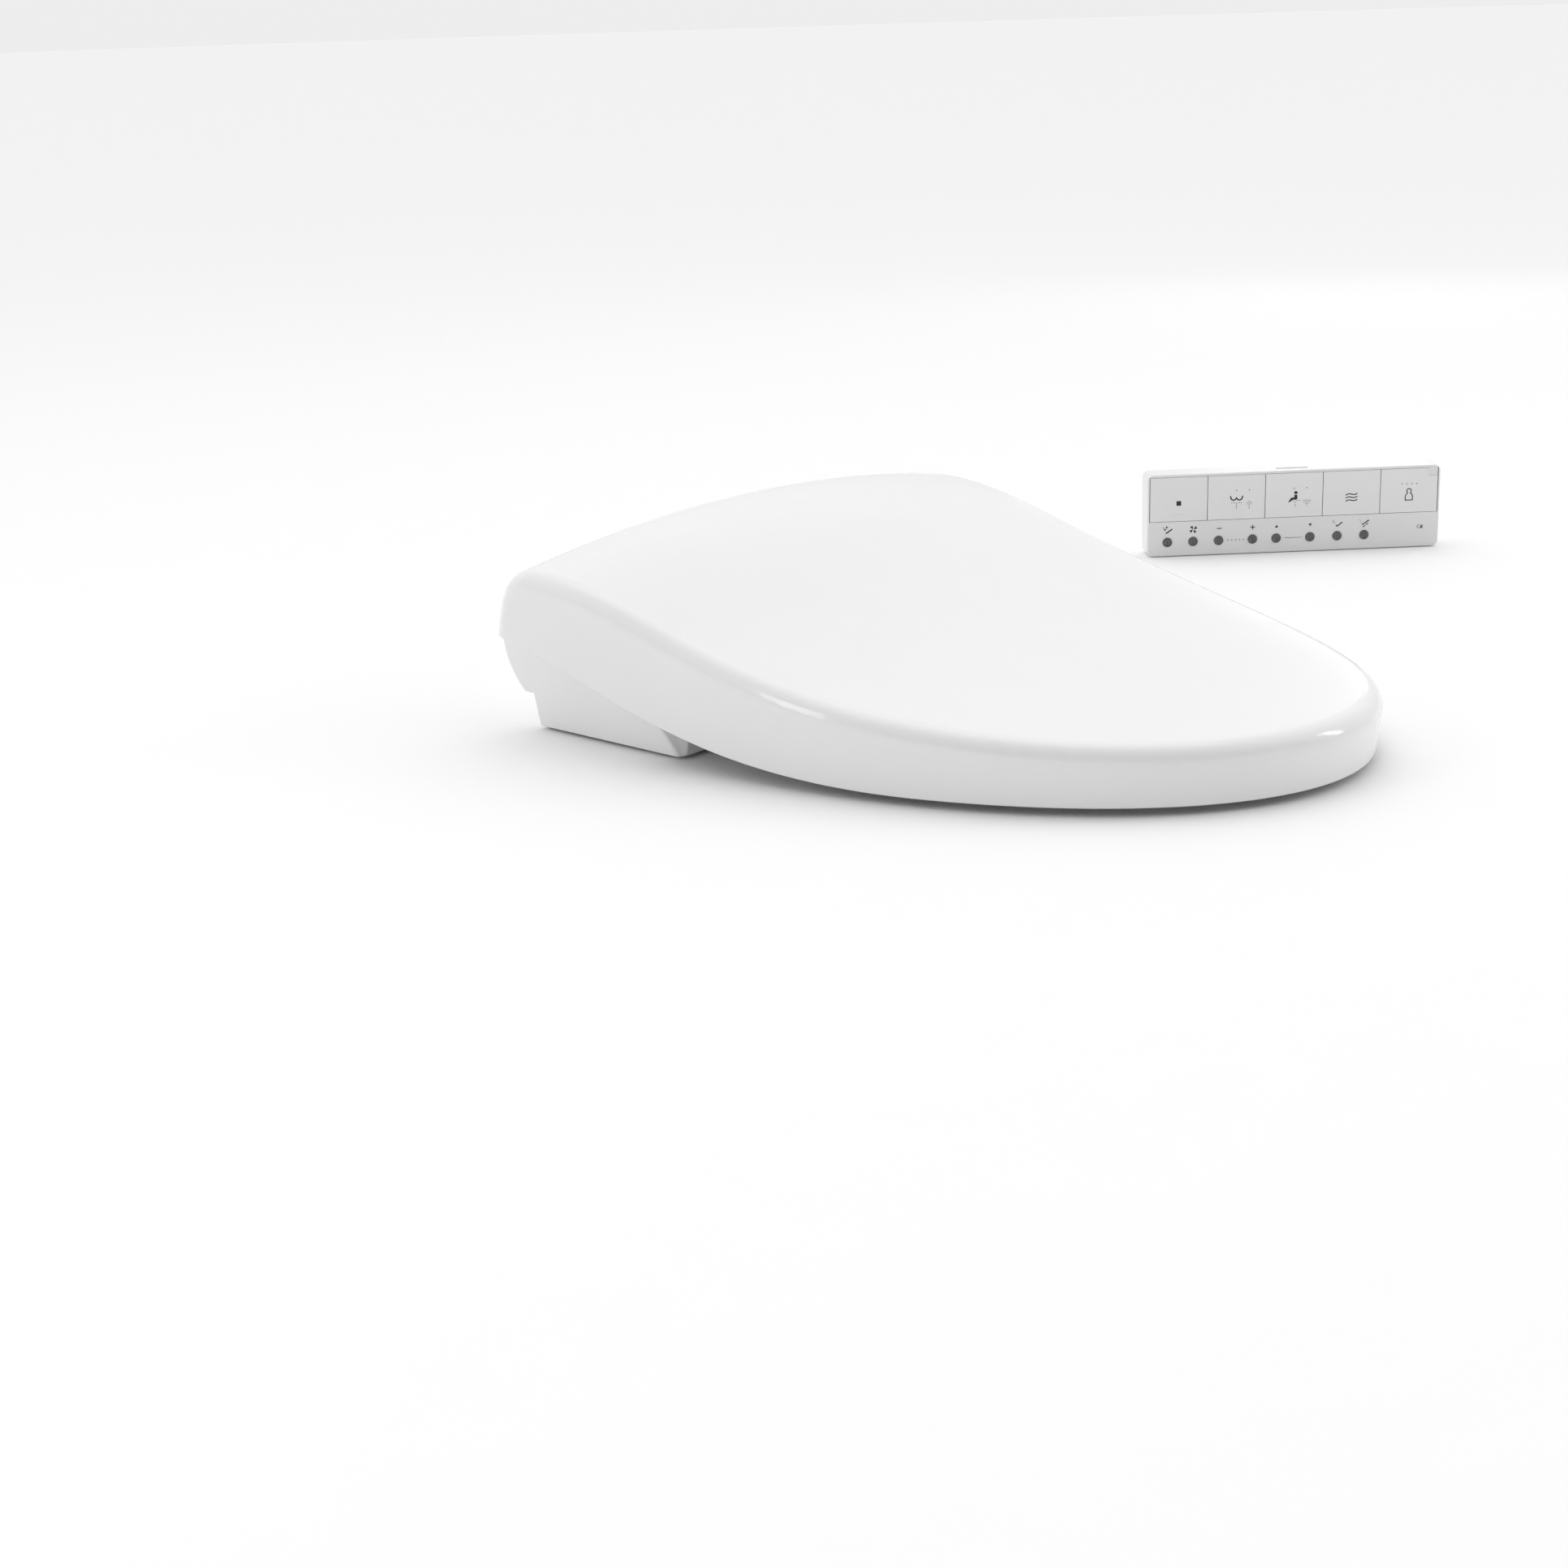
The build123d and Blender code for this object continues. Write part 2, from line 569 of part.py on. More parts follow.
with BuildPart() as wand_tip:
    with BuildSketch(WAND_AXIS.offset(-TIP_INSET - TIP_LENGTH)):
        Circle(WAND_R)
    extrude(amount=TIP_LENGTH)
    with BuildSketch(Plane(origin=WAND_AXIS.origin, x_dir=(1, 0, 0), z_dir=WAND_AXIS.y_dir)):
        with Locations((0, TIP_INSET + 6), (-2.2, TIP_INSET + 9), (2.2, TIP_INSET + 9)):
            Circle(0.7)
    extrude(amount=WAND_R + 2, mode=Mode.SUBTRACT)
save(wand_tip, "wand_tip")

with BuildPart() as wand_motor:
    across(10, 13, -14, 50, 14)
    across(13, 30, -14, 50, 11)
save(wand_motor, "wand_motor")

# ---- warm-air dryer ----------------------------------------------------------------------------
BLOWER = (-12.0, 52.0)
BLOWER_R = 24.0
ROTOR_R = 19.5
BLOWER_X = (52.0, 76.0)


def duct_profile(wall):
    """Side view of the air duct from the blower to the nose, thinned by its wall."""
    Polyline((-95.4 - wall, 7 + wall), (-56, 7 + wall), (-44 - wall, 20), (-43, 25 + wall), (-30, 31 + wall),
             (-34, 42 - wall), (-42 + wall / 2, 38 - wall), (-46, 29 - wall), (-60, 25 - wall),
             (-95.4 - wall, 22.5 - wall), close=True)


with BuildPart() as dryer_duct:
    for wall in (0, 1.5):
        with BuildSketch(Plane.YZ.offset(FLAP_X[0] + wall)):
            with BuildLine():
                duct_profile(wall)
            make_face()
        extrude(amount=FLAP_X[1] - FLAP_X[0] - 2 * wall, mode=Mode.SUBTRACT if wall else Mode.ADD)
save(dryer_duct, "dryer_duct")

with BuildPart() as blower_housing:
    across(BLOWER_X[0], BLOWER_X[1], *BLOWER, BLOWER_R)
    across(BLOWER_X[0] + 2, BLOWER_X[1] - 2, *BLOWER, BLOWER_R - 2, mode=Mode.SUBTRACT)
    across(BLOWER_X[0] - 1, BLOWER_X[0] + 3, *BLOWER, 3, mode=Mode.SUBTRACT)
    across(BLOWER_X[1] - 3, BLOWER_X[1] + 1, *BLOWER, 12, mode=Mode.SUBTRACT)
save(blower_housing, "blower_housing")

with BuildPart() as dryer_rotor:
    across(46, 70, *BLOWER, 1.5)
    across(BLOWER_X[0] + 3.5, BLOWER_X[0] + 5, *BLOWER, ROTOR_R)
    across(BLOWER_X[0] + 5, BLOWER_X[0] + 14, *BLOWER, 5)
    with BuildSketch(Plane.YZ.offset(BLOWER_X[0] + 5)):
        with Locations(BLOWER):
            with PolarLocations(ROTOR_R - 3.5, 16):
                Rectangle(6, 1.2)
    extrude(amount=13)
save(dryer_rotor, "dryer_rotor")

with BuildPart() as dryer_motor:
    across(34, BLOWER_X[0], *BLOWER, 12)
    across(45, BLOWER_X[0] + 1, *BLOWER, 1.55, mode=Mode.SUBTRACT)
save(dryer_motor, "dryer_motor")

with BuildPart() as dryer_flap:
    bar((FLAP_X[0] - 0.5, NOSE_Y, 6.6), (FLAP_X[1] + 0.5, NOSE_Y + 2, 22.2))
    across(FLAP_X[0] - 2.8, FLAP_X[1] + 2.8, *FLAP_PIN, 0.8)
save(dryer_flap, "dryer_flap")

# ---- deodoriser --------------------------------------------------------------------------------
with BuildPart() as filter_housing:
    bar((-82, -95.4, 5.6), (-38, -54, 21))
    bar((-79.6, -97, 5.6), (-40.4, -57, 18.6), mode=Mode.SUBTRACT)
    with BuildSketch(Plane.XZ.offset(50)):
        with Locations((-60, 12.5)):
            Circle(5)
    extrude(amount=10, mode=Mode.SUBTRACT)
save(filter_housing, "filter_housing")

with BuildPart() as deodoriser_filter:
    bar(*FILTER_BOX)
    with Locations((-60, NOSE_Y, 12)):
        with GridLocations(6, 1, 5, 1):
            Box(3, 8, 7, mode=Mode.SUBTRACT)
save(deodoriser_filter, "deodoriser_filter")

with BuildPart() as deodoriser_fan:
    with BuildSketch(Plane.XZ.offset(43.5)):
        with Locations((-60, 13.5)):
            Circle(7.5)
    extrude(amount=10)
save(deodoriser_fan, "deodoriser_fan")

# ---- electronics and cord gland ----------------------------------------------------------------
with BuildPart() as controller_board:
    bar((84, -34, 68), (140, 14, 69.6))
    bar((90, -28, 69.6), (104, -14, 72))
    bar((110, -30, 69.6), (124, -20, 76))
    bar((128, -10, 69.6), (136, 8, 78))
save(controller_board, "controller_board")

with BuildPart() as power_supply:
    bar((84, -38, 26), (108, 0, 64))
save(power_supply, "power_supply")

with BuildPart() as cord_gland:
    for y, length, radius in ((17, 12, 7.5), (5, 8, GLAND_TAIL_R)):
        with BuildSketch(Plane.XZ.offset(-y)):
            with Locations((GLAND_X, INLET_Z)):
                Circle(radius)
        extrude(amount=length)
    with BuildSketch(Plane.XZ.offset(-20)):
        with Locations((GLAND_X, INLET_Z)):
            Circle(3.6)
    extrude(amount=40, mode=Mode.SUBTRACT)
save(cord_gland, "cord_gland")

# ---- remote control ----------------------------------------------------------------------------
YAW = radians(REMOTE_YAW)
FACE = Plane(origin=(*REMOTE_AT, 0), x_dir=(cos(YAW), sin(YAW), 0), z_dir=(sin(YAW), -cos(YAW), 0))
HOOKS_U = (-70.0, -30.0)
BATTERY_V = (25.0, 37.0)
BATTERY_DOOR = ((20.0, 17.0), (73.0, 45.0))
BOARD_DEPTH = 9.5


def slab(u_low, v_low, u_high, v_high, near, far, mode=Mode.ADD):
    """A block of the remote between two depths behind its face, u across and v up."""
    with BuildSketch(FACE.offset(-far)) as outline:
        with Locations(((u_low + u_high) / 2, (v_low + v_high) / 2)):
            Rectangle(u_high - u_low, v_high - v_low)
    extrude(outline.sketch, amount=far - near, mode=mode)


def post(u, v, radius, near, far, mode=Mode.ADD):
    """A round post or hole of the remote, square to its face."""
    with BuildSketch(FACE.offset(-far)) as disc:
        with Locations((u, v)):
            Circle(radius)
    extrude(disc.sketch, amount=far - near, mode=mode)


def case_blank(near, far, rounding, round_near):
    """The remote's outline between two depths, with one of its two face edges rounded."""
    with BuildPart(mode=Mode.PRIVATE) as blank:
        with BuildSketch(FACE.offset(-far)) as outline:
            with Locations((0, REMOTE_H / 2)):
                RectangleRounded(REMOTE_W, REMOTE_H, 4.5)
        extrude(outline.sketch, amount=far - near)
        ends = blank.faces().sort_by(Axis(FACE.origin, FACE.z_dir))
        fillet(ends[-1 if round_near else 0].edges(), rounding)
    add(blank.part)


HALF_CAVITY = REMOTE_W / 2 - REMOTE_WALL
TRAY_HALF_W = KEY_PITCH * 2.5 + 0.3
TRAY_LOW_V = KEY_CENTRE_V - KEY_H / 2 - 0.2
TRAY_HIGH_V = KEY_CENTRE_V + KEY_H / 2 + 0.2
KEY_U = [KEY_PITCH * (i - 2) for i in range(5)]

with BuildPart() as remote_front:
    case_blank(0, CASE_SPLIT, 1.2, True)
    slab(-HALF_CAVITY, REMOTE_WALL, HALF_CAVITY, REMOTE_H - REMOTE_WALL, TRAY_DEPTH + 2, CASE_SPLIT, Mode.SUBTRACT)
    slab(-HALF_CAVITY, REMOTE_WALL, HALF_CAVITY, TRAY_LOW_V - 2, REMOTE_WALL, CASE_SPLIT, Mode.SUBTRACT)
    slab(-TRAY_HALF_W, TRAY_LOW_V, TRAY_HALF_W, TRAY_HIGH_V, -1, TRAY_DEPTH, Mode.SUBTRACT)
    for u in KEY_U:
        post(u, KEY_CENTRE_V, 3.3, 0, CASE_SPLIT, Mode.SUBTRACT)
    for u in BUTTON_U.values():
        post(u, BUTTON_V, BUTTON_R + 0.15, -1, 4, Mode.SUBTRACT)
    slab(-12, REMOTE_H - 3, 12, REMOTE_H + 1, 8, 12, Mode.SUBTRACT)
save(remote_front, "remote_front")

with BuildPart() as remote_back:
    case_blank(CASE_SPLIT, REMOTE_T, 1.8, False)
    with BuildPart(mode=Mode.PRIVATE) as back_cavity:
        slab(-HALF_CAVITY, REMOTE_WALL, HALF_CAVITY, REMOTE_H - REMOTE_WALL, CASE_SPLIT - 1, REMOTE_T - 2)
        for u in HOOKS_U:
            slab(u - 7.5, 0, u + 7.5, 42.5, REMOTE_T - 6, REMOTE_T, Mode.SUBTRACT)
    add(back_cavity.part, mode=Mode.SUBTRACT)
    for u in HOOKS_U:
        slab(u - 5.5, -1, u + 5.5, 40, REMOTE_T - 4, REMOTE_T + 1, Mode.SUBTRACT)
    (u_low, v_low), (u_high, v_high) = BATTERY_DOOR
    slab(u_low, v_low, u_high, v_high, REMOTE_T - 3, REMOTE_T + 1, Mode.SUBTRACT)
save(remote_back, "remote_back")

with BuildPart() as battery_cover:
    slab(u_low + 0.2, v_low + 0.2, u_high - 0.2, v_high - 0.2, REMOTE_T - 1.9, REMOTE_T)
save(battery_cover, "battery_cover")

with BuildPart() as remote_board:
    slab(-104, 4, 104, 56, BOARD_DEPTH, BOARD_DEPTH + 1.4)
save(remote_board, "remote_board")

with BuildPart() as batteries:
    for v in BATTERY_V:
        middle = FACE.from_local_coords((46.0, v, -16.4))
        with BuildSketch(Plane(origin=middle, x_dir=FACE.y_dir, z_dir=FACE.x_dir)):
            Circle(5.25)
        extrude(amount=22.2, both=True)
save(batteries, "batteries")

with BuildPart() as remote_ir_window:
    slab(-12, REMOTE_H - 2, 12, REMOTE_H, 8, 12)
save(remote_ir_window, "remote_ir_window")

with BuildPart() as remote_holder:
    slab(-85, 0, -15, 58, REMOTE_T + 0.6, REMOTE_T + 3)
    for u in HOOKS_U:
        slab(u - 5.2, 29, u + 5.2, 39.6, REMOTE_T - 3.6, REMOTE_T + 0.6)
    for v in (14, 46):
        post(-50, v, 2.1, 20, 30, Mode.SUBTRACT)
save(remote_holder, "remote_holder")

for key_name, u in zip(KEY_NAMES, KEY_U):
    with BuildPart() as key:
        half_w = KEY_PITCH / 2 - KEY_GAP / 2
        slab(u - half_w, KEY_CENTRE_V - KEY_H / 2, u + half_w, KEY_CENTRE_V + KEY_H / 2, 0, KEY_T)
        fillet(key.faces().sort_by(Axis(FACE.origin, FACE.z_dir))[-1].edges(), KEY_EDGE_R)
        post(u, KEY_CENTRE_V, 3, KEY_T, BOARD_DEPTH - 1.3)
        if key_name == KEY_NAMES[-1]:
            corner_v = KEY_CENTRE_V + KEY_H / 2
            slab(u + half_w - 7, corner_v - 6, u + half_w, corner_v, -1, 0.8, Mode.SUBTRACT)
    save(key, f"key_{key_name}")

for button_name, u in BUTTON_U.items():
    with BuildPart() as button:
        post(u, BUTTON_V, BUTTON_R, -0.6, 2.6)
        post(u, BUTTON_V, BUTTON_R + 1, 2.4, 3.4)
        post(u, BUTTON_V, 1.5, 3.4, BOARD_DEPTH - 1)
    save(button, f"button_{button_name}")
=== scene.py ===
import json
import math

import bmesh
import bpy
from mathutils import Matrix, Vector


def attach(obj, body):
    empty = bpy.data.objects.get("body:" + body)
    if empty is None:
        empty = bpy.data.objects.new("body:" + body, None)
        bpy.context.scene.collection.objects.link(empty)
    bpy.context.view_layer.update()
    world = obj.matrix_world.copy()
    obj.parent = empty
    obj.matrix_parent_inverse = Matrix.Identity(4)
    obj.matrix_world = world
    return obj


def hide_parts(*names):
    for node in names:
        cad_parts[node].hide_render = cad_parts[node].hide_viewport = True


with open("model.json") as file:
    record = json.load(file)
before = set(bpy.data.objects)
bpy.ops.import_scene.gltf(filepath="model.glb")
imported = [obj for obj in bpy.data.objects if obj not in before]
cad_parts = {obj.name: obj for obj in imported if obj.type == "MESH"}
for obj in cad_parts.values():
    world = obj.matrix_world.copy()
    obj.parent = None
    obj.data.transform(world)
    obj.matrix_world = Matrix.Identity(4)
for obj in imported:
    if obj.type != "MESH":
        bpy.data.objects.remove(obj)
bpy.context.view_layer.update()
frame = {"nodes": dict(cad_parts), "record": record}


NODES = frame["nodes"]
MM = 0.001


# ---- materials -----------------------------------------------------------------------------------
# noise scales, in features per metre of the object, and bump depths in metres
CLOUD_SCALE = 22.0
HANDLING_SCALE = 34.0
PEEL_SCALE = 55.0
GRAIN_SCALE = 2600.0
PEEL_DEPTH = 0.0012
FINE_DEPTH = 0.0001
GROOVE_DEPTH = 0.00008
PLASTIC_IOR = 1.49
COAT_ROUGHNESS = 0.04


class Graph:
    """A material's node tree, with the object's own coordinates to hand."""

    def __init__(self, name):
        self.material = bpy.data.materials.new(name)
        self.material.use_nodes = True
        self.tree = self.material.node_tree
        self.tree.nodes.clear()
        self.output = self.add("ShaderNodeOutputMaterial")
        self.shader = self.add("ShaderNodeBsdfPrincipled")
        self.link(self.shader, "BSDF", self.output, "Surface")
        self.coords = self.add("ShaderNodeTexCoord")

    def add(self, kind, **values):
        node = self.tree.nodes.new(kind)
        for key, value in values.items():
            if hasattr(node, key):
                setattr(node, key, value)
            else:
                node.inputs[key.replace("_", " ")].default_value = value
        return node

    def link(self, source, output, target, socket):
        self.tree.links.new(source.outputs[output], target.inputs[socket])

    def stretched(self, stretch):
        """Object coordinates scaled by a different amount along each axis."""
        mapping = self.add("ShaderNodeMapping")
        mapping.inputs["Scale"].default_value = stretch
        self.link(self.coords, "Object", mapping, "Vector")
        return mapping

    def noise(self, scale, detail=3.0, stretch=None):
        node = self.add("ShaderNodeTexNoise", Scale=scale, Detail=detail)
        if stretch:
            self.link(self.stretched(stretch), "Vector", node, "Vector")
        else:
            self.link(self.coords, "Object", node, "Vector")
        return node

    def ramp(self, source, output, stops):
        """A colour ramp with (position, colour) stops, into the base colour."""
        node = self.add("ShaderNodeValToRGB")
        elements = node.color_ramp.elements
        while len(elements) < len(stops):
            elements.new(0.5)
        for element, (position, colour) in zip(elements, stops):
            element.position = position
            element.color = (*colour, 1)
        self.link(source, output, node, "Fac")
        self.link(node, "Color", self.shader, "Base Color")

    def roughness(self, source, low, high):
        """Roughness that follows a texture between two values."""
        node = self.add("ShaderNodeMapRange")
        node.inputs["To Min"].default_value = low
        node.inputs["To Max"].default_value = high
        self.link(source, "Fac", node, "Value")
        self.link(node, "Result", self.shader, "Roughness")

    def bump(self, source, output, strength, distance):
        """One more layer of bump on top of those already there."""
        node = self.add("ShaderNodeBump", Strength=strength, Distance=distance)
        self.link(source, output, node, "Height")
        previous = self.shader.inputs["Normal"].links
        if previous:
            self.tree.links.new(previous[0].from_socket, node.inputs["Normal"])
        self.link(node, "Normal", self.shader, "Normal")


def tint(colour, factor):
    """The colour made darker or lighter, and never over full white."""
    return tuple(min(1.0, channel * factor) for channel in colour)


def moulded(name, colour, rough, peel=0.03, grain=0.0, coat=0.0, spread=0.012, wander=0.1):
    """Moulded plastic: a faint cloudiness, the waviness of a polished tool, and optional fine texture."""
    graph = Graph(name)
    clouds = graph.noise(CLOUD_SCALE)
    graph.ramp(clouds, "Fac", [(0.35, tint(colour, 1 - spread)), (0.65, tint(colour, 1 + spread))])
    handling = graph.noise(HANDLING_SCALE)
    graph.roughness(handling, rough * (1 - wander), rough * (1 + wander))
    graph.bump(graph.noise(PEEL_SCALE, 2.0), "Fac", peel, PEEL_DEPTH)
    if grain:
        graph.bump(graph.noise(GRAIN_SCALE, 2.0), "Fac", grain, FINE_DEPTH)
    graph.shader.inputs["IOR"].default_value = PLASTIC_IOR
    graph.shader.inputs["Coat Weight"].default_value = coat
    graph.shader.inputs["Coat Roughness"].default_value = COAT_ROUGHNESS
    return graph.material


def metal(name, colour, rough, stretch, scale=900.0, spread=0.12):
    """Worked metal with its tool marks drawn out along one direction."""
    graph = Graph(name)
    marks = graph.noise(scale, 4.0, stretch)
    graph.ramp(marks, "Fac", [(0.3, tint(colour, 1 - spread)), (0.7, tint(colour, 1 + spread))])
    graph.roughness(marks, rough * 0.7, rough * 1.3)
    graph.bump(marks, "Fac", 0.15, FINE_DEPTH)
    graph.shader.inputs["Metallic"].default_value = 1.0
    return graph.material


def spun_metal():
    """Dark metal turned on a lathe: fine grooves around the middle, followed through the UV map."""
    graph = Graph("spun_dark_metal")
    grooves = graph.add("ShaderNodeTexWave", Scale=9.0, Distortion=0.4, Detail=2.0, bands_direction="Y")
    graph.link(graph.coords, "UV", grooves, "Vector")
    graph.ramp(grooves, "Fac", [(0.0, (0.05, 0.05, 0.052)), (1.0, (0.30, 0.30, 0.31))])
    graph.roughness(grooves, 0.2, 0.36)
    graph.bump(grooves, "Fac", 0.5, GROOVE_DEPTH)
    around = graph.add("ShaderNodeTangent", direction_type="UV_MAP", uv_map="UVMap")
    graph.link(around, "Tangent", graph.shader, "Tangent")
    graph.shader.inputs["Anisotropic"].default_value = 0.8
    graph.shader.inputs["Metallic"].default_value = 1.0
    return graph.material


def circuit_board():
    """Green solder mask over a pattern of copper tracks."""
    graph = Graph("solder_mask")
    tracks = graph.add("ShaderNodeTexBrick", Scale=260.0, Mortar_Size=0.03)
    tracks.inputs["Color1"].default_value = (0.012, 0.085, 0.035, 1)
    tracks.inputs["Color2"].default_value = (0.016, 0.11, 0.045, 1)
    tracks.inputs["Mortar"].default_value = (0.05, 0.2, 0.09, 1)
    graph.link(graph.coords, "Object", tracks, "Vector")
    graph.link(tracks, "Color", graph.shader, "Base Color")
    graph.roughness(graph.noise(500.0), 0.25, 0.4)
    graph.bump(tracks, "Fac", 0.2, FINE_DEPTH)
    return graph.material


def battery_sleeve():
    """The printed jacket of a battery, with dark and copper-coloured bands."""
    graph = Graph("battery_sleeve")
    bands = graph.add("ShaderNodeTexWave", Scale=14.0, Distortion=0.0, bands_direction="X")
    graph.link(graph.coords, "Object", bands, "Vector")
    graph.ramp(bands, "Fac", [(0.45, (0.03, 0.033, 0.04)), (0.55, (0.32, 0.25, 0.12))])
    graph.roughness(graph.noise(300.0), 0.2, 0.35)
    return graph.material


MATERIALS = {
    "white_gloss": moulded("white_gloss", (0.85, 0.85, 0.852), 0.13, peel=0.008, coat=0.35, spread=0.004),
    "seat_white": moulded("seat_white", (0.84, 0.84, 0.84), 0.16, peel=0.01, coat=0.25, spread=0.005),
    "liner_white": moulded("liner_white", (0.83, 0.83, 0.828), 0.28, peel=0.006, spread=0.002, wander=0.04),
    "case_white": moulded("case_white", (0.83, 0.83, 0.83), 0.24, peel=0.012, grain=0.03, spread=0.006),
    "inner_plastic": moulded("inner_plastic", (0.66, 0.66, 0.645), 0.5, grain=0.25, spread=0.03),
    "soft_grey": moulded("soft_grey", (0.42, 0.42, 0.42), 0.7, grain=0.35, spread=0.05),
    "black_plastic": moulded("black_plastic", (0.035, 0.035, 0.038), 0.45, grain=0.3, spread=0.15),
    "smoked_window": moulded("smoked_window", (0.018, 0.014, 0.018), 0.06, peel=0.01, coat=0.6, spread=0.1),
    "remote_white": moulded("remote_white", (0.82, 0.82, 0.822), 0.3, peel=0.006, grain=0.02, spread=0.004),
    "key_white": moulded("key_white", (0.84, 0.84, 0.842), 0.26, peel=0.006, grain=0.02, spread=0.004),
    "steel": metal("turned_steel", (0.55, 0.55, 0.56), 0.28, (1, 1, 12)),
    "dark_steel": spun_metal(),
    "brass_fitting": metal("machined_brass", (0.66, 0.47, 0.2), 0.26, (1, 14, 1)),
    "foil": metal("rolled_foil", (0.72, 0.72, 0.73), 0.34, (1, 6, 1)),
    "board_green": circuit_board(),
    "battery_jacket": battery_sleeve(),
}
PRINT = moulded("printed_ink", (0.012, 0.012, 0.013), 0.4, grain=0.1, spread=0.2)
LAMP = moulded("lamp_lens", (0.10, 0.10, 0.105), 0.2, spread=0.1)
GREY_PRINT = moulded("grey_ink", (0.12, 0.12, 0.125), 0.4, grain=0.1, spread=0.2)


def dress_nodes():
    """Give every carried-over solid the material of its slot in the record."""
    for part in frame["record"]["subparts"]:
        mesh = NODES[part["node"]].data
        mesh.materials.clear()
        mesh.materials.append(MATERIALS[part["material_slot"]])


dress_nodes()


# ---- helpers for the pieces ----------------------------------------------------------------------
SHARP_EDGE = math.radians(32)
ON_AXIS = 1e-7
THREAD_PITCH = 1.814 * MM


def make_piece(name, bm, material, body, replaced=()):
    """Turn a bmesh into a piece that rides on a body."""
    bmesh.ops.recalc_face_normals(bm, faces=bm.faces)
    mesh = bpy.data.meshes.new(name)
    bm.to_mesh(mesh)
    bm.free()
    mesh.materials.append(material)
    mesh.shade_smooth()
    mesh.set_sharp_from_angle(angle=SHARP_EDGE)
    piece = bpy.data.objects.new(name, mesh)
    bpy.context.scene.collection.objects.link(piece)
    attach(piece, body)
    if replaced:
        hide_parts(*replaced)


def add_ring(bm, points):
    """New vertices at the points, in their order."""
    return [bm.verts.new(point) for point in points]


def bridge(bm, first, second):
    """Quads between two rings of the same length."""
    count = len(first)
    for i in range(count):
        j = (i + 1) % count
        bm.faces.new((first[i], first[j], second[j], second[i]))


def in_metres(profile):
    """A profile in millimetres, turned into metres."""
    return [tuple(value * MM for value in entry) for entry in profile]


def lathe(name, profile, origin, axis, steps, material, body, replaced=()):
    """A turned piece: profile is (radius, distance along the axis), closed on the axis or back on itself.

    A third number cuts a screw thread of that depth, THREAD_PITCH apart, into the radius.
    """
    turn = Vector((0, 0, 1)).rotation_difference(Vector(axis)).to_matrix().to_4x4()
    place = Matrix.Translation(Vector(origin)) @ turn
    angles = [2 * math.pi * i / steps for i in range(steps)]
    bm = bmesh.new()
    uv = bm.loops.layers.uv.new("UVMap")
    rings = []
    for radius, height, *thread in profile:
        if radius < ON_AXIS:
            rings.append([bm.verts.new(place @ Vector((0, 0, height)))])
            continue
        depth = thread[0] if thread else 0.0
        points = []
        for angle in angles:
            turns = height / THREAD_PITCH - angle / (2 * math.pi)
            reach = radius - depth * abs(2 * (turns % 1.0) - 1)
            points.append(place @ Vector((reach * math.cos(angle), reach * math.sin(angle), height)))
        rings.append(add_ring(bm, points))
    widest = max(entry[0] for entry in profile)
    pairs = list(enumerate(zip(rings, rings[1:])))
    if len(rings[0]) > 1 and len(rings[-1]) > 1:
        pairs.append((-1, (rings[-1], rings[0])))
    for index, (low, high) in pairs:
        for i in range(steps):
            j = (i + 1) % steps
            corners = [low[i % len(low)], low[j % len(low)], high[j % len(high)], high[i % len(high)]]
            share = [(i, index), (i + 1, index), (i + 1, index + 1), (i, index + 1)]
            if len(low) == 1:
                corners, share = [low[0], high[j], high[i]], [(i, index), (i + 1, index + 1), (i, index + 1)]
            elif len(high) == 1:
                corners, share = [low[i], low[j], high[0]], [(i, index), (i + 1, index), (i, index + 1)]
            face = bm.faces.new(corners)
            for loop, (around, level) in zip(face.loops, share):
                loop[uv].uv = (around / steps, profile[level][0] / widest)
    make_piece(name, bm, material, body, replaced)


# ---- water inlet and cord sleeve at the back -----------------------------------------------------
BACKWARD = Vector((0.0, 1.0, 0.0))
INLET_AT = Vector((-0.122, 0.0, 0.014))
SLEEVE_AT = Vector((0.122, 0.0, 0.014))
THREAD_RADIUS = 10.48
THREAD_DEPTH = 1.0
THREAD_START = 5.7
THREAD_ROW = 0.2
THREAD_ROWS = 58
RIB_PITCH = 2.25
RIB_COUNT = 4


def threaded_inlet():
    """The water inlet with its pipe thread."""
    thread = [(THREAD_RADIUS, THREAD_START + THREAD_ROW * i, THREAD_DEPTH) for i in range(THREAD_ROWS)]
    collar = [(3.5, -18), (6.2, -18), (6.2, 5.02), (9.3, 5.02), (9.4, 5.5)]
    mouth = [(9.2, 17.6), (8.8, 18), (6.0, 18), (6.0, 6), (3.5, 6)]
    lathe(
        "threaded_inlet", in_metres(collar + thread + mouth), INLET_AT, BACKWARD, 64,
        MATERIALS["brass_fitting"], "base_unit", ["water_inlet"],
    )


def cord_sleeve():
    """The soft sleeve around the cord's outlet, with ribs that get smaller towards its end."""
    profile = [(3.6, -3), (5.0, -3), (5.0, 5.02), (7.4, 5.02), (7.5, 5.2), (7.5, 7.4), (7.2, 7.7)]
    for rib in range(RIB_COUNT):
        crest = 6.7 - 0.35 * rib
        start = 7.9 + RIB_PITCH * rib
        profile += [(5.0, start), (5.0, start + 0.8), (crest, start + 1.0), (crest, start + 2.1)]
    profile += [(5.3, 16.9), (4.9, 17), (3.6, 17)]
    lathe(
        "cord_sleeve", in_metres(profile), SLEEVE_AT, BACKWARD, 40,
        MATERIALS["soft_grey"], "base_unit", ["cord_gland"],
    )


threaded_inlet()
cord_sleeve()


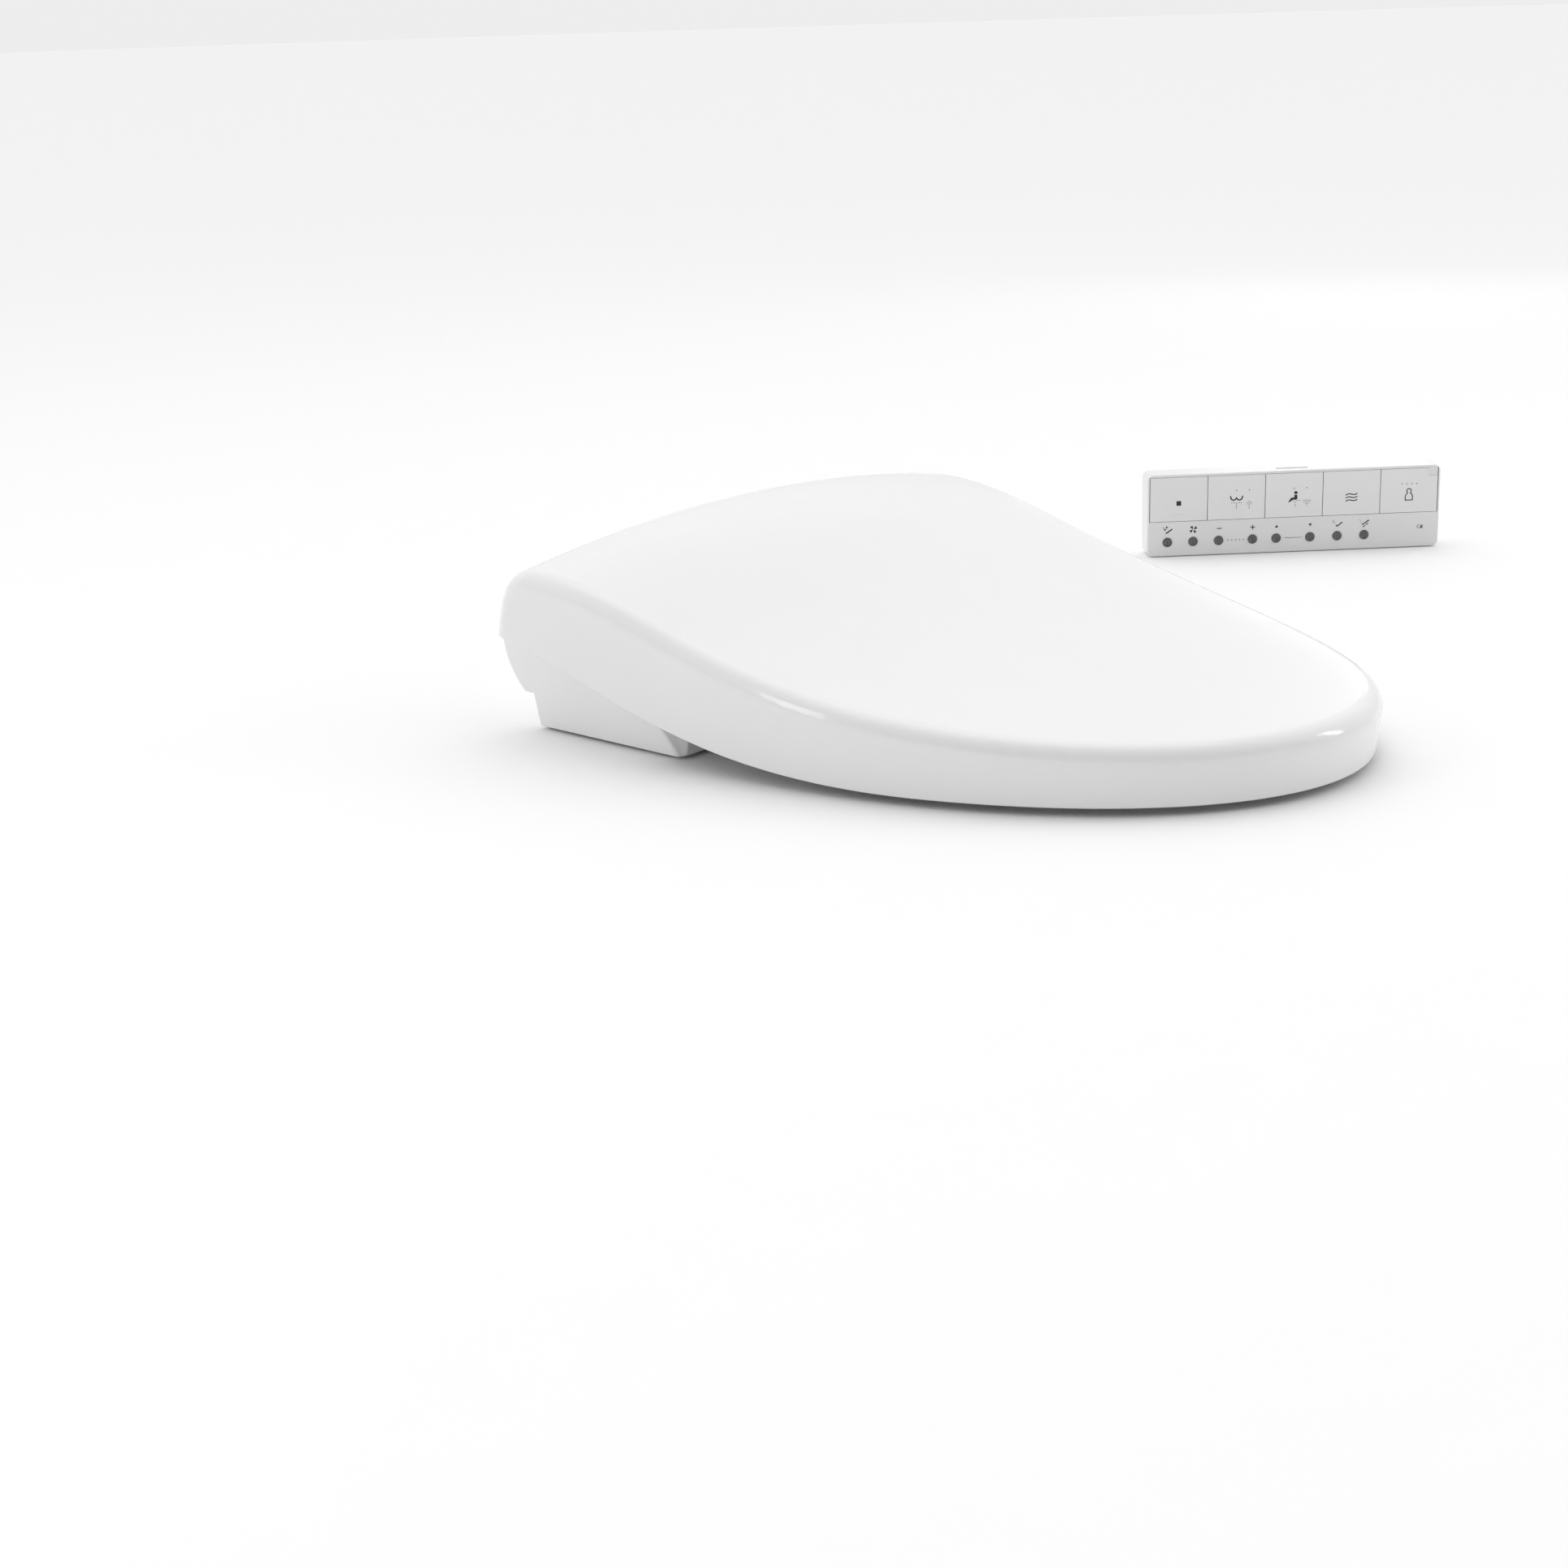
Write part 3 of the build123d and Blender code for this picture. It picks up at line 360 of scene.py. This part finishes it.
# ---- remote control: prints, lamps and metal buttons ---------------------------------------------
# the remote stands at REMOTE with its face turned OUTWARD; u runs across the face and v up it, in mm
REMOTE = Vector((0.5, -0.08, 0.0))
ACROSS = Vector((math.sqrt(0.5), -math.sqrt(0.5), 0.0))
OUTWARD = Vector((-math.sqrt(0.5), -math.sqrt(0.5), 0.0))
UP = Vector((0.0, 0.0, 1.0))
INK = 0.06
ICON_V = 39.9
PANEL_V = 19.8
BUTTON_V = 10.7
BATTERY_SIGN = (95.9, 15.3)
TACTILE_V = 30.9
TACTILE_RISE = 0.35
LAMP_RISE = 8.1
LAMP_RADIUS = 0.42
DROP_RADIUS = 0.3
KEY_PITCH = 43.3
KEY_COLUMNS = {"stop": -2, "rear_wash": -1, "front_wash": 0, "dryer": 1, "user_preset": 2}


def on_face(u, v, height):
    """A point of the remote's face: millimetres across, up, and out of the face."""
    return REMOTE + (ACROSS * u + UP * v + OUTWARD * height) * MM


def add_plate(bm, outline, low, high):
    """A thin flat shape on the remote's face."""
    under = add_ring(bm, [on_face(u, v, low) for u, v in outline])
    over = add_ring(bm, [on_face(u, v, high) for u, v in outline])
    bm.faces.new(over)
    bm.faces.new(list(reversed(under)))
    bridge(bm, under, over)


class Print:
    """Flat marks gathered into one piece, drawn around a centre in millimetres."""

    def __init__(self, low=0.0, high=INK):
        self.bm = bmesh.new()
        self.centre = (0.0, 0.0)
        self.low = low
        self.high = high

    def at(self, u, v):
        """Move the centre that the next marks are drawn around."""
        self.centre = (u, v)
        return self

    def shape(self, points):
        """A filled outline."""
        u, v = self.centre
        add_plate(self.bm, [(u + x, v + y) for x, y in points], self.low, self.high)
        return self

    def dot(self, x, y, radius):
        return self.shape(arc(x, y, radius, 0, 360, 16)[:-1])

    def dots(self, places, radius):
        for x, y in places:
            self.dot(x, y, radius)
        return self

    def line(self, points, width, closed=False):
        """A stroke of even width with mitred corners."""
        half = width / 2
        count = len(points)
        left, right = [], []
        for i, (x, y) in enumerate(points):
            before = points[i - 1] if i or closed else None
            after = points[(i + 1) % count] if i + 1 < count or closed else None
            normals = []
            for start, end in ((before, (x, y)), ((x, y), after)):
                if start is None or end is None:
                    continue
                run = Vector((end[0] - start[0], end[1] - start[1])).normalized()
                normals.append(Vector((-run.y, run.x)))
            mean = sum(normals, Vector((0, 0))).normalized()
            reach = half / max(0.5, mean.dot(normals[0]))
            left.append((x + mean.x * reach, y + mean.y * reach))
            right.append((x - mean.x * reach, y - mean.y * reach))
        u, v = self.centre
        rails = []
        for side, height in ((right, self.low), (left, self.low), (left, self.high), (right, self.high)):
            rails.append(add_ring(self.bm, [on_face(u + x, v + y, height) for x, y in side]))
        for first, second in zip(rails, rails[1:] + rails[:1]):
            for i in range(count if closed else count - 1):
                j = (i + 1) % count
                self.bm.faces.new((first[i], second[i], second[j], first[j]))
        if not closed:
            self.bm.faces.new([rail[0] for rail in reversed(rails)])
            self.bm.faces.new([rail[-1] for rail in rails])
        return self

    def done(self, name, material, body, slot):
        make_piece(name, self.bm, material, body)


def arc(x, y, radius, start, end, steps):
    """Points along an arc, in degrees."""
    angles = [math.radians(start + (end - start) * i / steps) for i in range(steps + 1)]
    return [(x + radius * math.cos(a), y + radius * math.sin(a)) for a in angles]


def spray(mark, x):
    """The dotted fountain under the wash symbols."""
    drops = ((-3.6, -1.3), (-2.4, -1.0), (-1.2, -1.3), (1.2, -1.3), (2.4, -1.0), (3.6, -1.3))
    fan = [(x + across, level) for across, level in drops]
    stem = [(x, -1.9 - 1.15 * i) for i in range(4)]
    mark.dots(fan + stem, DROP_RADIUS)


def rounded_box(half_width, half_height, radius, steps=5):
    """The outline of a rectangle with rounded corners."""
    corners = ((1, 1, 0), (-1, 1, 90), (-1, -1, 180), (1, -1, 270))
    points = []
    for sx, sy, turn in corners:
        x, y = sx * (half_width - radius), sy * (half_height - radius)
        points += arc(x, y, radius, turn, turn + 90, steps)
    return points


def key_mark(key, rise=0.0):
    """A print centred on a key's sign."""
    return Print().at(KEY_COLUMNS[key] * KEY_PITCH, ICON_V + rise)


def finish_key(mark, key):
    mark.done(f"print_{key}", PRINT, f"key_{key}", "black_plastic")


def key_lamps(key, places):
    """The small lamps in a row above a key's sign."""
    lamps = key_mark(key).dots([(x, LAMP_RISE) for x in places], LAMP_RADIUS)
    lamps.done(f"lamps_{key}", LAMP, f"key_{key}", "smoked_window")


def print_stop():
    """A filled square."""
    mark = key_mark("stop").shape(rounded_box(1.75, 1.75, 0.35))
    finish_key(mark, "stop")


def print_rear_wash():
    """Two rounded curves over a fountain, with a small fountain beside it."""
    mark = key_mark("rear_wash")
    left_half = [(-4.5, 4.0), (-4.35, 2.6), (-3.7, 1.4), (-2.5, 0.8), (-1.1, 1.1), (0.0, 2.4)]
    mark.line(left_half + [(-x, y) for x, y in reversed(left_half[:-1])], 0.95)
    spray(mark, 0.0)
    mark.dots([(9.6, -0.4 - 1.05 * i) for i in range(6)], DROP_RADIUS)
    mark.dots([(9.6 + side * 1.3, -1.3 - 1.15 * i) for side in (-1, 1) for i in range(2)], DROP_RADIUS)
    finish_key(mark, "rear_wash")


def print_front_wash():
    """A seated figure over a fountain, with a triangle of drops beside it."""
    mark = key_mark("front_wash")
    mark.dot(1.2, 4.7, 1.2)
    mark.shape([(1.9, 5.2), (3.1, 4.3), (2.0, 4.0)])
    mark.shape([
        (0.2, 3.1), (2.3, 3.1), (2.5, 0.2), (1.6, -0.6), (-1.2, -0.6),
        (-3.4, -2.4), (-4.4, -2.2), (-2.2, 1.0), (0.1, 1.1),
    ])
    spray(mark, 0.9)
    for row, count in enumerate((5, 4, 2, 1)):
        mark.dots([(9.6 + 1.3 * (i - (count - 1) / 2), -1.3 - 1.3 * row) for i in range(count)], 0.32)
    finish_key(mark, "front_wash")


def print_dryer():
    """Three waves of warm air."""
    mark = key_mark("dryer", -0.4)
    for height in (2.3, 0.0, -2.3):
        steps = [-4.4 + 0.4 * i for i in range(23)]
        mark.line([(x, height - 0.55 * math.sin(0.75 * x) + 0.12 * x) for x in steps], 0.75)
    finish_key(mark, "dryer")


def print_user_preset():
    """The outline of a person."""
    mark = key_mark("user_preset")
    head = arc(0.0, 2.7, 1.7, -50, 230, 20)
    side = [(1.15, 0.9), (2.2, 0.1), (2.7, -1.2), (2.7, -4.2)]
    mark.line(head + [(-x, y) for x, y in side] + list(reversed(side)), 0.7, closed=True)
    finish_key(mark, "user_preset")


print_stop()
print_rear_wash()
print_front_wash()
print_dryer()
print_user_preset()
key_lamps("rear_wash", (0.0, 9.6))
key_lamps("front_wash", (0.0, 9.5))
key_lamps("user_preset", (-5.5, -1.8, 1.9, 5.6))


def tactile_bar():
    """The raised bar that tells the stop key by touch."""
    bar = Print(high=TACTILE_RISE).at(KEY_COLUMNS["stop"] * KEY_PITCH - 0.2, TACTILE_V)
    bar.shape(rounded_box(3.9, 0.75, 0.7))
    bar.done("tactile_bar", MATERIALS["key_white"], "key_stop", "key_white")


def panel_print():
    """The black signs above the metal buttons, from left to right."""
    panel = Print()
    # a wand with sparks: light and clean
    panel.at(-94.8, PANEL_V).line([(-1.3, -2.4), (3.6, 0.9)], 0.95)
    for x, y, size in ((-2.0, 0.6, 1.25), (-0.6, 2.3, 1.25), (-3.2, 2.0, 0.6)):
        star = [(0, 1), (0.28, 0.28), (1, 0), (0.28, -0.28), (0, -1), (-0.28, -0.28), (-1, 0), (-0.28, 0.28)]
        panel.shape([(x + size * a, y + size * b) for a, b in star])
    # a fan: deodoriser
    panel.at(-75.4, PANEL_V)
    for blade in range(4):
        turn = 90 * blade + 20
        inner = arc(0, 0, 0.55, turn - 20, turn + 25, 3)
        outer = arc(0, 0, 2.9, turn + 38, turn - 6, 6)
        panel.shape(inner + outer)
    # minus and plus: pressure
    panel.at(-55.9, PANEL_V).shape([(-1.75, -0.35), (1.75, -0.35), (1.75, 0.35), (-1.75, 0.35)])
    cross = [(-1.75, -0.35), (-0.35, -0.35), (-0.35, -1.75), (0.35, -1.75), (0.35, -0.35), (1.75, -0.35)]
    panel.at(-30.7, PANEL_V).shape(cross + [(-x, -y) for x, y in cross])
    # two triangles: position
    panel.at(-12.7, PANEL_V).shape([(-1.25, -1.05), (1.25, -1.05), (0, 1.2)])
    panel.at(12.7, PANEL_V).shape([(-1.25, 1.05), (0, -1.2), (1.25, 1.05)])
    # a wand with a spray of drops, then one with arrows beside it: oscillation and wand cleaning
    panel.at(33.3, PANEL_V).line([(-1.2, -0.8), (-0.2, -1.8), (3.7, 1.2)], 0.85)
    panel.dots([(-3.8, 2.0), (-3.2, 1.2), (-2.6, 2.0), (-2.5, 0.5), (-1.9, 1.1), (-3.2, 2.7)], 0.24)
    panel.at(53.6, PANEL_V).line([(-1.6, -1.5), (3.4, 1.9)], 0.85)
    panel.line([(-0.7, -2.9), (2.6, -0.7)], 0.42)
    panel.shape([(-1.3, -3.3), (0.2, -3.1), (-0.5, -2.0)])
    panel.shape([(3.2, -0.3), (1.7, -0.5), (2.4, -1.6)])
    panel.dots([(-3.7 + 0.62 * i, 2.3 - 0.85 * i) for i in range(4)], 0.24)
    panel.done("panel_print", PRINT, "remote", "black_plastic")


def panel_scales():
    """The grey marks: a row of dots, a rule between two buttons, and the battery sign."""
    scales = Print()
    scales.at(-43.3, BUTTON_V).dots([(2.95 * (i - 2), 0) for i in range(5)], 0.45)
    scales.at(0, BUTTON_V).shape([(-6.4, -0.17), (6.4, -0.17), (6.4, 0.17), (-6.4, 0.17)])
    scales.at(*BATTERY_SIGN).line(rounded_box(1.9, 1.1, 0.2, 2), 0.3, closed=True)
    scales.shape([(-2.45, -0.45), (-2.05, -0.45), (-2.05, 0.45), (-2.45, 0.45)])
    scales.shape([(-0.3, -0.8), (1.6, -0.8), (1.6, 0.8), (0.6, 0.8)])
    scales.done("panel_scales", GREY_PRINT, "remote", "black_plastic")


tactile_bar()
panel_print()
panel_scales()

BUTTON_U = {
    "light_clean": -94.8, "deodoriser": -75.5, "pressure_minus": -56.2, "pressure_plus": -30.7,
    "position_back": -12.8, "position_front": 12.7, "oscillate": 33.2, "wand_clean": 53.6,
}
# (radius, height) in mm: a stem, a flange, a rounded rim and a shallow dish with a ring in it
BUTTON_PROFILE = [
    (0.0, -8.0), (1.5, -8.0), (1.5, -3.4), (4.45, -3.4), (4.45, -2.5), (3.48, -2.4), (3.48, 0.3),
    (3.4, 0.46), (3.22, 0.54), (3.0, 0.56), (2.82, 0.5), (2.7, 0.34), (2.6, 0.16), (2.45, 0.1),
    (2.1, 0.06), (1.6, 0.0), (1.55, 0.05), (1.4, 0.05), (1.35, -0.01), (0.9, -0.05),
    (0.45, -0.07), (0.0, -0.08),
]
for button, u in BUTTON_U.items():
    lathe(
        f"metal_{button}", in_metres(BUTTON_PROFILE),
        on_face(u, BUTTON_V, 0.0), OUTWARD, 48, MATERIALS["dark_steel"],
        f"button_{button}", [f"button_{button}"],
    )


# ---- camera, light and floor ---------------------------------------------------------------------
EYE = Vector((-1.176528, -1.096614, 0.411405))
RIGHT = Vector((0.669976, -0.741777, -0.029999))
UPWARD = Vector((0.234051, 0.172703, 0.956762))
FORWARD = Vector((0.704523, 0.648029, -0.289320))
SENSOR_MM = 36.0
LENS_MM = 59.973
NEAREST = 0.05


def front_left_camera():
    """The camera that looks down at the seat's front left."""
    data = bpy.data.cameras.new("camera")
    data.sensor_width = SENSOR_MM
    data.lens = LENS_MM
    data.clip_start = NEAREST
    camera = bpy.data.objects.new("camera", data)
    columns = Matrix((RIGHT, UPWARD, -FORWARD)).transposed().to_4x4()
    camera.matrix_world = Matrix.Translation(EYE) @ columns
    bpy.context.scene.collection.objects.link(camera)
    bpy.context.scene.camera = camera


front_left_camera()

# name, place, the point it is turned to, width and height in metres, power in watts
SOFT_LIGHTS = (
    ("overhead", (0.3, 0.4, 2.2), (0.0, -0.15, 0.0), 2.0, 1.6, 4.5),
    ("left_strip", (-1.8, 0.3, 0.8), (0.0, -0.05, 0.05), 0.25, 0.9, 2.3),
    ("right_strip", (2.2, 0.8, 0.55), (0.1, -0.4, 0.04), 0.5, 0.12, 0.5),
    ("tip_strip", (1.5, -1.7, 0.9), (0.0, -0.35, 0.05), 0.3, 0.9, 3.7),
)


def soft_light(name, place, target, width, height, power):
    """A rectangular softbox turned towards a point."""
    data = bpy.data.lights.new(name, "AREA")
    data.shape = "RECTANGLE"
    data.size = width
    data.size_y = height
    data.energy = power
    light = bpy.data.objects.new(name, data)
    light.location = place
    light.visible_camera = False
    light.rotation_euler = (Vector(target) - Vector(place)).to_track_quat("-Z", "Y").to_euler()
    bpy.context.scene.collection.objects.link(light)


for light_values in SOFT_LIGHTS:
    soft_light(*light_values)

# the side that the dim surroundings are on, and how far the shading reaches and between which levels
DIM_SIDE = Vector((-0.67, -0.72, 0.12))
DIM_SPAN = (0.0, 0.85)
DIM_LEVELS = (1.0, 0.12)
HEIGHT_SPAN = (0.0, 0.9)
HORIZON_LEVEL = 0.85
ZENITH_LEVEL = 1.33


def studio_world():
    """White surroundings, brighter overhead and dim on the side that faces the front left of the seat."""
    world = bpy.data.worlds.new("studio")
    world.use_nodes = True
    tree = world.node_tree
    direction = tree.nodes.new("ShaderNodeTexCoord")
    side = tree.nodes.new("ShaderNodeVectorMath")
    side.operation = "DOT_PRODUCT"
    side.inputs[1].default_value = DIM_SIDE
    height = tree.nodes.new("ShaderNodeSeparateXYZ")
    strength = tree.nodes.new("ShaderNodeMath")
    strength.operation = "MULTIPLY"
    tree.links.new(direction.outputs["Generated"], side.inputs[0])
    tree.links.new(direction.outputs["Generated"], height.inputs[0])
    for slot, source, span, levels in (
        (0, side.outputs["Value"], DIM_SPAN, DIM_LEVELS),
        (1, height.outputs["Z"], HEIGHT_SPAN, (HORIZON_LEVEL, ZENITH_LEVEL)),
    ):
        shade = tree.nodes.new("ShaderNodeMapRange")
        shade.interpolation_type = "SMOOTHSTEP"
        for label, value in zip(("From Min", "From Max", "To Min", "To Max"), span + levels):
            shade.inputs[label].default_value = value
        tree.links.new(source, shade.inputs["Value"])
        tree.links.new(shade.outputs["Result"], strength.inputs[slot])
    background = tree.nodes["Background"]
    background.inputs["Color"].default_value = (1.0, 1.0, 1.0, 1.0)
    tree.links.new(strength.outputs["Value"], background.inputs["Strength"])
    bpy.context.scene.world = world


studio_world()
bpy.context.scene.view_settings.view_transform = "Standard"


# (radius, height) in metres: flat for twenty metres, then a sweep
FLOOR_PROFILE = [
    (2.0, 0.0), (6.0, 0.0), (12.0, 0.0), (20.0, 0.0), (23.0, 0.1),
    (26.0, 0.45), (28.5, 1.2), (31.0, 2.6), (33.0, 4.8), (34.2, 7.2),
]
FLOOR_STEPS = 96
FLOOR_DROP = 0.0004
SWEEP_GAIN = 2.0


def paper_floor():
    """Pale studio paper: flat for twenty metres, then sweeping up on the side that faces the front left."""
    bm = bmesh.new()
    middle = bm.verts.new((0.0, 0.0, 0.0))
    rings = []
    for radius, height in FLOOR_PROFILE:
        points = []
        for step in range(FLOOR_STEPS):
            angle = 2 * math.pi * step / FLOOR_STEPS
            across, along = math.cos(angle), math.sin(angle)
            sweep = min(1.0, max(0.0, SWEEP_GAIN * DIM_SIDE.dot(Vector((across, along, 0.0)))))
            points.append((radius * across, radius * along, height * sweep))
        rings.append(add_ring(bm, points))
    for i in range(FLOOR_STEPS):
        bm.faces.new((middle, rings[0][i], rings[0][(i + 1) % FLOOR_STEPS]))
    for low, high in zip(rings, rings[1:]):
        bridge(bm, high, low)
    mesh = bpy.data.meshes.new("floor")
    bm.to_mesh(mesh)
    bm.free()
    mesh.shade_smooth()
    paper = moulded("studio_paper", (0.965, 0.965, 0.965), 0.9, peel=0.0, grain=0.1, spread=0.002)
    mesh.materials.append(paper)
    floor = bpy.data.objects.new("floor", mesh)
    floor.location = (0.0, 0.0, -FLOOR_DROP)
    bpy.context.scene.collection.objects.link(floor)


paper_floor()
